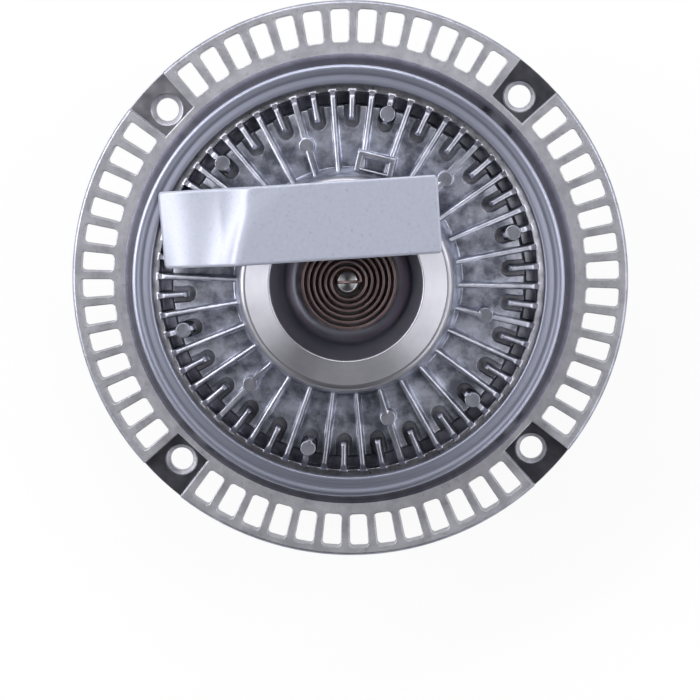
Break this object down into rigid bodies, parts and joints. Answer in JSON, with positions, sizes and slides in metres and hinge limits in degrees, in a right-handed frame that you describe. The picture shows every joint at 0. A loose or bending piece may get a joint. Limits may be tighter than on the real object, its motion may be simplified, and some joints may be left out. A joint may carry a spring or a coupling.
{
  "type": "viscous fan clutch",
  "caption": "Viscous fan clutch with a finned die-cast housing, a slotted ring flange for the fan, a spiral bimetal control in the hub and a bolted drive flange.",
  "frame": {"origin": "on the axis, in the rear face of the drive flange", "axes": "+Z along the axis towards the front with the bimetal coil, fan bolts at 45 degrees between X and Y"},
  "size_m": [0.2, 0.2, 0.0693],
  "materials": {
    "shaft_steel": "turned steel with an oiled grey surface",
    "bearing_steel": "ground and polished steel",
    "machined_aluminium": "turned aluminium",
    "spring_steel": "phosphated spring steel",
    "sheet_steel": "stamped sheet steel",
    "cast_aluminium": "die cast, blue-grey, with turned faces",
    "black_rubber": "smooth",
    "brown_rubber": "smooth",
    "bush_brass": "turned",
    "bimetal": "rolled strip, darkened to reddish brown",
    "label_film": "silvery white film"
  },
  "bodies": {
    "drive": {"input_shaft": "shaft_steel", "bearing_inner_ring": "bearing_steel", "rotor_disc": "machined_aluminium", "rotor_circlip": "spring_steel"},
    "cage": {"bearing_balls": "bearing_steel", "bearing_cage": "sheet_steel"},
    "housing": {"rear_body": "cast_aluminium", "front_cover": "cast_aluminium", "cover_seal": "black_rubber", "divider_plate": "sheet_steel", "pump_wiper": "bush_brass", "wiper_rivets": "sheet_steel", "bearing_outer_ring": "bearing_steel", "bearing_seal_rear": "brown_rubber", "bearing_seal_front": "brown_rubber", "bearing_circlip": "spring_steel", "spindle_bush": "bush_brass", "filler_plug": "sheet_steel", "bimetal_coil": "bimetal", "label": "label_film"},
    "valve": {"valve_spindle": "bearing_steel", "spindle_ring": "black_rubber", "valve_lever": "sheet_steel"}
  },
  "joints": [
    {"name": "housing_spin", "type": "hinge", "parent": "drive", "child": "housing", "pos_m": [0, 0, 0], "axis": [0, 0, 1], "continuous": true},
    {"name": "cage_spin", "type": "hinge", "parent": "drive", "child": "cage", "pos_m": [0, 0, 0], "axis": [0, 0, 1], "continuous": true},
    {"name": "valve_turn", "type": "hinge", "parent": "housing", "child": "valve", "pos_m": [0, 0, 0], "axis": [0, 0, 1], "range_deg": [0, 40], "stiffness_Nm_per_rad": 0.01, "deforming": ["bimetal_coil"]}
  ],
  "couplings": [
    {"joint": "cage_spin", "follows": "housing_spin", "ratio": 0.6026}
  ]
}
